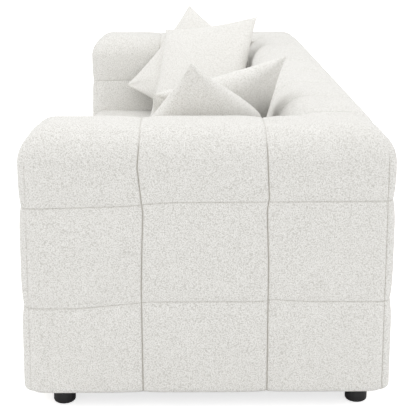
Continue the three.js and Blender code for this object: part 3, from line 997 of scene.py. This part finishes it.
    def build(self) -> bpy.types.Object:
        """Makes the arm's cover over its padding.

        Returns:
            The cover.
        """
        shell = self.shell
        padding = Padding(shell.top, shell.low, shell.roll)
        bm = self.box(padding)
        raw = points_of(bm)
        depth, groove = padding.sunk(self.sewn_lines(raw), raw)
        sunk = depth + shell.fan(raw)
        held = raw[:, 0] < shell.inner_x + IN_PLANE
        sunk[held] *= np.clip((raw[held, 2] - shell.seat) / self.held_reach, self.held_give, 1)
        strayed = self.stray(raw)
        plan = self.plan(padding, self.keep_corner(strayed, raw))
        place_verts(bm, padding.settle(strayed, plan, sunk), groove)
        shell.close_round("right_arm_top_board", bm)
        mirror_to(self.side, bm)
        parts = ("cap", "outer_panel", "inner_panel", "front_panel")
        nodes = [f"{self.side.word}_arm_{part}" for part in parts]
        return shell.declare(bm, f"{self.side.word}_arm_cover", nodes, self.fill)


@dataclass
class Back:
    """The back between the arms: cap, seat-side panel and rear panel under one cover."""

    shell: Shell
    pucker: float = 0.0011
    fill: float = 0.85

    def build(self) -> bpy.types.Object:
        """Makes the back's cover.

        Returns:
            The cover.
        """
        shell = self.shell
        padding = Padding(shell.top, shell.low, shell.roll, pucker=self.pucker)
        facing = shell.half_depth - shell.rear_facing
        bm = lattice((
            rows_between(-shell.inner_x, shell.inner_x, shell.column_seams, shell.spacing),
            rows_between(shell.back_y, shell.half_depth, [facing], shell.spacing),
            rows_between(shell.low, shell.top, [*shell.seam_levels, *padding.bends], shell.spacing),
        ))
        drop_faces(bm, lambda at: at.z < shell.low + IN_PLANE or abs(at.x) > shell.inner_x - IN_PLANE)
        drop_faces(bm, lambda at: at.y < shell.back_y + IN_PLANE and at.z < shell.seam_levels[0])
        raw = points_of(bm)
        low = (-shell.inner_x, shell.back_y)
        high = (shell.inner_x, shell.half_depth)
        plan = padding.block_plan(raw, low, high, (False, True))
        for side in Side:
            off = raw[:, :2] - (side.value * shell.inner_x, shell.back_y)
            shell.round_corner(raw, np.abs(off).max(axis=1) < SAME, side.value, plan)
        depth, groove = padding.sunk(shell.upright_seams(raw) + shell.level_seams(raw), raw)
        place_verts(bm, padding.settle(raw, plan, depth + shell.fan(raw)), groove)
        shell.close_round("back_top_board", bm)
        return shell.declare(bm, "back_cover", ["back_cap", "back_front_panel", "rear_panel"], self.fill)


@dataclass
class Seat:
    """The fixed seat pad, with the front border below it."""

    shell: Shell
    fill: float = 0.75
    pucker: float = 0.0009

    # The front edge's roll, the seam across the seat, and how tight it and the border's are sewn.
    roll: float = 0.062
    cross_seam: float = -0.167
    cross_tightness: float = 0.7
    border_tightness: float = 0.6

    # How far the pad is taken to run on under the back, so that its rear edge isn't rolled.
    under_back: float = 0.248

    def sewn_lines(self, points: np.ndarray) -> list[Seam]:
        """Gives the seat's sewn lines.

        Args:
            points: Points on the box.

        Returns:
            The upright seams, those across the seat and the one over the border.
        """
        shell = self.shell
        x, y, z = points.T
        lines = shell.upright_seams(points)
        for seam in (self.cross_seam, shell.back_y):
            lines.append((np.hypot(y - seam, z - shell.seat), x, self.cross_tightness))
        border = np.hypot(z - shell.seam_levels[0], y + shell.half_depth)
        return [*lines, (border, x, self.border_tightness)]

    def build(self) -> bpy.types.Object:
        """Makes the seat's cover.

        Returns:
            The cover.
        """
        shell = self.shell
        padding = Padding(shell.seat, shell.low, self.roll, pucker=self.pucker)
        under = shell.seam_levels[0]
        front = -shell.half_depth + shell.skin
        bm = lattice((
            rows_between(-shell.inner_x, shell.inner_x, shell.column_seams, shell.spacing),
            rows_between(-shell.half_depth, shell.back_y, [self.cross_seam, shell.back_y], shell.spacing),
            rows_between(shell.low, shell.seat, [under, *padding.bends], shell.spacing),
        ))
        drop_faces(bm, lambda at: at.z < shell.low + IN_PLANE or abs(at.x) > shell.inner_x - IN_PLANE)
        drop_faces(bm, lambda at: at.y > shell.back_y - IN_PLANE)
        raw = points_of(bm)
        low = (-shell.inner_x, -shell.half_depth)
        high = (shell.inner_x, shell.back_y + self.under_back)
        depth, groove = padding.sunk(self.sewn_lines(raw), raw)
        plan = padding.block_plan(raw, low, high, (False, True))
        place_verts(bm, padding.settle(raw, plan, depth), groove)

        def turn_in(at: Vector) -> Vector:
            """Sends the open edge to the pad's underside and the border's back."""
            level = min(at.z, under) if at.y < front else under
            return Vector((at.x, max(at.y, front), level))

        close_inside(bm, turn_in, under)
        return shell.declare(bm, "seat_cover", ["seat_pad", "front_border_panel"], self.fill)


@dataclass(frozen=True)
class Pillow:
    """One end's throw pillow: two square sheets sewn together and stuffed.

    It stands so far from the arm and the back, turned, leaned back and rolled by so many
    degrees, and its low and its rear corner are pressed in so far.
    """

    name: str
    from_arm: float
    from_back: float
    turn: float
    lean: float
    roll: float
    low_squash: float
    rear_squash: float

    # Its sheets: their side, how thick they are filled, how far their edges draw in, how steeply
    # they rise from the edge, and the faces along a side.
    side: float = 0.450
    thickness: float = 0.125
    bow: float = 0.08
    crown_power: float = 0.5
    steps: int = 60

    # The stuffing: the share of the thickness that it starts from, its pressure, the furthest
    # that a point may move, and the frames that it takes.
    start: float = 0.72
    pressure: float = 4.0
    cap: float = 0.022
    frames: int = 20

    # The small folds at the corners: how high, how far in, how many and how they differ by corner.
    fold: float = 0.0030
    fold_reach: float = 0.095
    fold_clear: float = 0.02
    fold_count: int = 9
    fold_turns: tuple[float, float] = (0.7, 1.3)

    def sewn(self) -> bmesh.types.BMesh:
        """Makes the two sheets, joined along their knife edge and lightly filled.

        Returns:
            The mesh in the pillow's own plane.
        """
        bm = bmesh.new()
        for turn in (0, math.pi):
            grid = bmesh.ops.create_grid(bm, x_segments=self.steps, y_segments=self.steps, size=1.0)["verts"]
            for vert in grid:
                vert.co = self.crowned(vert.co)
            bmesh.ops.rotate(bm, verts=grid, cent=(0, 0, 0), matrix=Matrix.Rotation(turn, 3, "Y"))
        bmesh.ops.remove_doubles(bm, verts=bm.verts, dist=10 * SAME)
        bmesh.ops.recalc_face_normals(bm, faces=bm.faces)
        return bm

    def crowned(self, at: Vector) -> Vector:
        """Moves a point of the flat sheet to its place on the filled one.

        Args:
            at: The point, from -1 to 1 both ways.

        Returns:
            Its place.
        """
        u, v = ((share + math.sin(share * math.pi / 2)) / 2 for share in at.xy)
        room = (1 - u * u, 1 - v * v)
        half = self.side / 2
        crown = self.thickness / 2 * max(0, room[0] * room[1]) ** self.crown_power
        crown *= self.start
        return Vector((half * u * (1 - self.bow * room[1]), half * v * (1 - self.bow * room[0]), crown))

    def inflate(self, piece: bpy.types.Object) -> None:
        """Fills the pillow by cloth simulation and keeps the swelling within its cap.

        Args:
            piece: The pillow, in its own plane.
        """
        start = np.array([vert.co for vert in piece.data.vertices])
        corners = piece.vertex_groups.new(name="corners")
        pinned = np.flatnonzero(np.abs(start[:, :2]).min(axis=1) > self.side / 2 - MILLIMETRE)
        corners.add([int(at) for at in pinned], 1.0, "REPLACE")
        cloth = piece.modifiers.new("stuffing", "CLOTH")
        settings = cloth.settings
        settings.vertex_group_mass = corners.name
        settings.quality = 6
        settings.mass = 0.3
        settings.tension_stiffness = 20
        settings.compression_stiffness = 12
        settings.shear_stiffness = 6
        settings.bending_stiffness = 0.15
        settings.use_pressure = True
        settings.uniform_pressure_force = self.pressure
        settings.effector_weights.gravity = 0
        cloth.collision_settings.use_collision = False
        cloth.point_cache.frame_end = self.frames
        for number in range(1, self.frames + 1):
            bpy.context.scene.frame_set(number)
        view = bpy.context.evaluated_depsgraph_get()
        filled = np.array([vert.co for vert in piece.evaluated_get(view).data.vertices])
        piece.modifiers.remove(cloth)
        bpy.context.scene.frame_set(1)
        moved = filled - start
        length = np.linalg.norm(moved, axis=1)
        moved *= (np.minimum(length, self.cap) / np.maximum(length, NOT_ZERO))[:, None]
        places = start + moved
        places[:, 2] *= self.thickness / 2 / np.abs(places[:, 2]).max()
        LOG.info("%s: stuffed, moved up to %.1f mm", piece.name, length.max() / MILLIMETRE)
        for vert, place in zip(piece.data.vertices, places):
            vert.co = place

    def crease(self, bm: bmesh.types.BMesh) -> None:
        """Adds the small folds that run from each corner into the sheets.

        Args:
            bm: The pillow in its own plane.
        """
        half = self.side / 2
        turn_x, turn_y = self.fold_turns
        for vert in bm.verts:
            x, y = half - abs(vert.co.x), half - abs(vert.co.y)
            angle = math.atan2(y, x) + turn_x * (vert.co.x > 0) + turn_y * (vert.co.y > 0)
            distance = math.hypot(x, y)
            fade = math.exp(-((distance / self.fold_reach) ** 2)) * min(1, min(x, y) / self.fold_clear)
            vert.co.z += self.fold * fade * math.sin(self.fold_count * angle) * (1 if vert.co.z > 0 else -1)

    def press_in(self, bm: bmesh.types.BMesh) -> None:
        """Pushes the low corner up, as the pillow's weight does, and the rear one forward.

        Args:
            bm: The pillow as it lies.
        """
        for axis, sign, squash in ((2, -1, self.low_squash), (1, 1, self.rear_squash)):
            if squash == 0:
                continue
            reach = 2 * squash
            edge = max(sign * vert.co[axis] for vert in bm.verts)
            for vert in bm.verts:
                share = max(0, (sign * vert.co[axis] - edge + reach) / reach)
                vert.co[axis] -= sign * reach * share * share / 2

    def pose(self, shell: Shell) -> Matrix:
        """Gives how the pillow lies at the right end, before it is let down.

        Args:
            shell: The sofa's outline.

        Returns:
            The pillow's place and turn.
        """
        turned = Matrix.Rotation(math.radians(self.turn), 4, "Z")
        leaned = Matrix.Rotation(math.pi / 2 - math.radians(self.lean), 4, "X")
        rolled = Matrix.Rotation(math.radians(self.roll), 4, "Z")
        place = Matrix.Translation((shell.inner_x - self.from_arm, shell.back_y - self.from_back, 0))
        return place @ turned @ leaned @ rolled


@dataclass
class Pillows:
    """The four throw pillows, two at each end, each pair leaning on itself."""

    shell: Shell
    finishes: Finishes

    # The flat between two pillows: how it is turned, how far from the arm and the back it is,
    # and how far the pillows stay off it and off the crests.
    press_turn: float = -60.0
    press_from: tuple[float, float] = (0.285, 0.291)
    gap: float = 0.0006

    outer: Pillow = Pillow(
        "outer_pillow",
        from_arm=0.114,
        from_back=0.222,
        turn=-70.5,
        lean=27.5,
        roll=30.5,
        low_squash=0.086,
        rear_squash=0.125,
    )
    inner: Pillow = Pillow(
        "inner_pillow",
        from_arm=0.274,
        from_back=0.1965,
        turn=-53.5,
        lean=33,
        roll=-11.5,
        low_squash=0.006,
        rear_squash=0,
    )

    def lift(self) -> Vector:
        """The way that the outer pillow lifts, along the flats that it rests on."""
        share = math.tan(math.pi / 8)
        return Vector((share, share, 1)).normalized()

    def flats(self) -> dict[str, tuple[Vector, Vector]]:
        """Gives the flats that press on the pillows, as points and the ways that they face.

        Returns:
            The crest flats of the arm and the back, and the one between the pillows.
        """
        shell = self.shell
        lift = self.lift()
        level = Vector((1, 0, 0))
        level.rotate(Quaternion((0, 0, 1), math.radians(self.press_turn)))
        from_arm, from_back = self.press_from
        between = Vector((shell.inner_x - from_arm, shell.back_y - from_back, shell.seat))
        over_arm = Vector((0, 1, 0)).cross(lift).normalized()
        over_back = lift.cross(Vector((1, 0, 0))).normalized()
        crest = shell.top - shell.roll
        reach = shell.roll + self.gap
        arm_axis = Vector((shell.inner_x + shell.roll, 0, crest))
        back_axis = Vector((0, shell.back_y + shell.roll, crest))
        return {
            "arm": (arm_axis - over_arm * reach, over_arm),
            "back": (back_axis - over_back * reach, over_back),
            "between": (between, level.cross(lift).normalized()),
        }

    def flatten(self, pillow: Pillow, bm: bmesh.types.BMesh) -> None:
        """Presses a pillow's flats into it where it rests on the crests and its neighbour.

        Args:
            pillow: The pillow.
            bm: Its mesh as it lies.
        """
        flats = self.flats()
        point, facing = flats["between"]
        if pillow is self.outer:
            pressed = [flats["arm"], flats["back"], (point - facing * self.gap, facing)]
        else:
            pressed = [(point + facing * self.gap, -facing)]
        for point, facing in pressed:
            for vert in bm.verts:
                over = (vert.co - point).dot(facing)
                if over > 0:
                    vert.co -= facing * over

    def place(self, pillow: Pillow, side: Side) -> bpy.types.Object:
        """Makes one pillow and lays it where its CAD solid is.

        Args:
            pillow: The pillow.
            side: Which end.

        Returns:
            The piece.
        """
        name = f"{side.word}_{pillow.name}"
        piece = finish_mesh(pillow.sewn(), f"{name}_cover", self.finishes.pillow_boucle)
        pillow.inflate(piece)
        bm = bmesh.new()
        bm.from_mesh(piece.data)
        pillow.crease(bm)
        bmesh.ops.transform(bm, matrix=pillow.pose(self.shell), verts=bm.verts)
        pillow.press_in(bm)
        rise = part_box(f"right_{pillow.name}")[1].z - max(vert.co.z for vert in bm.verts)
        bmesh.ops.translate(bm, vec=(0, 0, rise), verts=bm.verts)
        self.flatten(pillow, bm)
        mirror_to(side, bm)
        bm.to_mesh(piece.data)
        bm.free()
        finer = piece.modifiers.new("smoother", "SUBSURF")
        finer.levels = finer.render_levels = 1
        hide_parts(name)
        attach(piece, name)
        report(piece)
        return piece

    def build(self) -> None:
        """Makes both pillows of both ends."""
        for side in Side:
            for pillow in (self.outer, self.inner):
                self.place(pillow, side)


@dataclass
class Foot:
    """A low turned foot with a rounded floor edge and a well for its bolt."""

    finishes: Finishes

    # The floor edge's round and its steps, the top's chamfer, the bolt's well and hole, the
    # faces round, and the angle that an edge is crisp from.
    edge: float = 0.007
    edge_steps: int = 6
    rim: float = 0.0015
    well: float = 0.0083
    well_depth: float = 0.043
    neck: float = 0.0043
    turns: int = 64
    crisp: float = 40.0

    def build(self, node: str) -> bpy.types.Object:
        """Makes the foot that stands for a CAD node.

        Args:
            node: The CAD foot.

        Returns:
            The piece.
        """
        low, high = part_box(node)
        middle = (low + high) / 2
        radius = (high.x - low.x) / 2
        outline = [(self.well, 0.0), (radius - self.edge, 0.0)]
        for step in range(1, self.edge_steps + 1):
            angle = step / self.edge_steps * math.pi / 2
            outline.append((radius - self.edge * (1 - math.sin(angle)), self.edge * (1 - math.cos(angle))))
        outline += [(radius, high.z - self.rim), (radius - self.rim, high.z), (self.neck, high.z)]
        outline += [(self.neck, self.well_depth), (self.well, self.well_depth)]
        bm = bmesh.new()
        verts = [bm.verts.new((middle.x + x, middle.y, z)) for x, z in outline]
        edges = [bm.edges.new(pair) for pair in zip(verts, verts[1:] + verts[:1])]
        bmesh.ops.spin(
            bm,
            geom=[*verts, *edges],
            cent=(middle.x, middle.y, 0),
            axis=(0, 0, 1),
            angle=2 * math.pi,
            steps=self.turns,
            use_merge=True,
        )
        bmesh.ops.remove_doubles(bm, verts=bm.verts, dist=SAME)
        bmesh.ops.recalc_face_normals(bm, faces=bm.faces)
        piece = finish_mesh(bm, f"{node}_turned", self.finishes.by_slot["foot_plastic"])
        piece.data.set_sharp_from_angle(angle=math.radians(self.crisp))
        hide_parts(node)
        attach(piece, "sofa")
        report(piece)
        return piece


def hang(name: str, data: bpy.types.ID, place: Vector, way: Vector) -> bpy.types.Object:
    """Adds a camera or a lamp that looks along a way.

    Args:
        name: Its name.
        data: The camera or the light.
        place: Where it is.
        way: What it looks along.

    Returns:
        The object.
    """
    hung = bpy.data.objects.new(name, data)
    hung.location = place
    hung.rotation_mode = "QUATERNION"
    hung.rotation_quaternion = way.to_track_quat("-Z", "Y")
    bpy.context.scene.collection.objects.link(hung)
    return hung


@dataclass(frozen=True)
class Lamp:
    """A soft square lamp: where it hangs, its side, its watts and what it points at."""

    name: str
    place: tuple[float, float, float]
    size: float
    power: float
    aim: tuple[float, float, float] = (0, 0, 0.4)

    def build(self) -> None:
        """Hangs the lamp."""
        data = bpy.data.lights.new(self.name, "AREA")
        data.shape = "SQUARE"
        data.size = self.size
        data.energy = self.power
        hang(self.name, data, Vector(self.place), Vector(self.aim) - Vector(self.place))


@dataclass
class Studio:
    """The pale floor, the soft lights and the camera."""

    # The camera: its place, its tilt and turn in degrees, and its lens and film in millimetres.
    eye: tuple[float, float, float] = (3.525, -0.050, 1.2285)
    pitch: float = 10.83
    yaw: float = 0.675
    lens: float = 87.65
    sensor: float = 36.0
    shift: tuple[float, float] = (0.0225, -0.225)

    world_strength: float = 0.88
    lamps: tuple[Lamp, ...] = (
        Lamp("overhead", (0.4, -0.5, 3.6), 3.2, 36),
        Lamp("front", (0.9, -3.8, 1.6), 2.8, 9),
        Lamp("rear", (0.9, 3.8, 1.6), 2.8, 20),
        Lamp("right_end", (4.6, -0.6, 1.5), 2.4, 10, aim=(1.1, 0, 0.4)),
    )

    # The floor: its colour and half side, and how it glows to full white away from the sofa.
    floor_colour: str = "f4f4f4"
    floor_half: float = 14.0
    glow_near: float = 1.4
    glow_far: float = 3.0
    glow_least: float = 0.7

    def camera(self) -> None:
        """Sets the camera square to the right arm's outer face, as high as the photograph's."""
        data = bpy.data.cameras.new("camera")
        data.lens = self.lens
        data.sensor_width = self.sensor
        data.shift_x, data.shift_y = self.shift
        pitch, yaw = math.radians(self.pitch), math.radians(self.yaw)
        level = math.cos(pitch)
        forward = Vector((-level * math.cos(yaw), level * math.sin(yaw), -math.sin(pitch)))
        bpy.context.scene.camera = hang("camera", data, Vector(self.eye), forward)

    def world(self) -> None:
        """Adds an even world that looks white to the camera and in gloss."""
        world = bpy.data.worlds.new("studio")
        bpy.context.scene.world = world
        world.use_nodes = True
        tree = world.node_tree
        path = add_node(tree, "ShaderNodeLightPath", {}, {})
        seen = add_node(
            tree,
            "ShaderNodeMath",
            {"operation": "MAXIMUM"},
            {0: path.outputs["Is Camera Ray"], 1: path.outputs["Is Glossy Ray"]},
        )
        strength = add_node(
            tree, "ShaderNodeMapRange", {"To Min": self.world_strength}, {"Value": seen.outputs[0]}
        )
        background = tree.nodes["Background"]
        feed(tree, background, {"Color": linear("ffffff")}, {"Strength": strength.outputs[0]})

    def floor(self) -> None:
        """Lays a pale floor that looks white to the camera and keeps the shadow."""
        bm = bmesh.new()
        bmesh.ops.create_grid(bm, x_segments=1, y_segments=1, size=self.floor_half)
        material, tree, shader, place = new_material("pale_floor")
        path = add_node(tree, "ShaderNodeLightPath", {}, {})
        away = add_node(tree, "ShaderNodeVectorMath", {"operation": "LENGTH"}, {0: place})
        glow = add_node(
            tree,
            "ShaderNodeMapRange",
            {"From Min": self.glow_near, "From Max": self.glow_far, "To Min": self.glow_least},
            {"Value": away.outputs["Value"]},
        )
        lift = add_node(
            tree,
            "ShaderNodeMath",
            {"operation": "MULTIPLY"},
            {0: path.outputs["Is Camera Ray"], 1: glow.outputs[0]},
        )
        colours = {"Base Color": linear(self.floor_colour), "Emission Color": linear("ffffff")}
        matt = {"Roughness": 0.9, "Specular IOR Level": 0.1}
        feed(tree, shader, {**colours, **matt}, {"Emission Strength": lift.outputs[0]})
        floor = finish_mesh(bm, "floor", material)

    def build(self) -> None:
        """Sets up everything round the sofa."""
        self.camera()
        self.world()
        for lamp in self.lamps:
            lamp.build()
        self.floor()
        bpy.context.scene.view_settings.view_transform = "Standard"


def dress_frame(finishes: Finishes) -> None:
    """Gives each CAD node that stays in sight the finish of its slot.

    Args:
        finishes: The finishes.
    """
    slots = {node: entry["slot"] for entry in frame["record"]["materials"] for node in entry.get("nodes", [])}
    for name, node in frame["nodes"].items():
        words = slots.get(name) or slot_by_name(name)
        if words not in finishes.by_slot:
            continue
        node.data.materials.clear()
        node.data.materials.append(finishes.by_slot[words])


def slot_by_name(name: str) -> str:
    """Tells a hidden piece's material slot from its name.

    Args:
        name: The node's name.

    Returns:
        The slot.
    """
    for word, slot in (("webbing", "elastic_webbing"), ("dust", "dust_cloth"), ("bolt", "zinc_steel")):
        if word in name:
            return slot
    if any(word in name for word in ("board", "rail", "rib", "block")):
        return "timber"
    return "foot_plastic" if name.endswith("foot") else ""


def main() -> None:
    """Builds the studio, the finishes, the covers, the pillows and the feet."""
    logging.basicConfig(level=logging.INFO, format="%(name)s: %(message)s")
    Studio().build()
    finishes = Finishes()
    shell = Shell(finishes)
    for side in Side:
        Arm(shell, side).build()
    Back(shell).build()
    Seat(shell).build()
    Pillows(shell, finishes).build()
    foot = Foot(finishes)
    for place in ("front_left", "front_right", "rear_left", "rear_right", "center"):
        foot.build(f"{place}_foot")
    dress_frame(finishes)


if __name__ == "__main__":
    main()
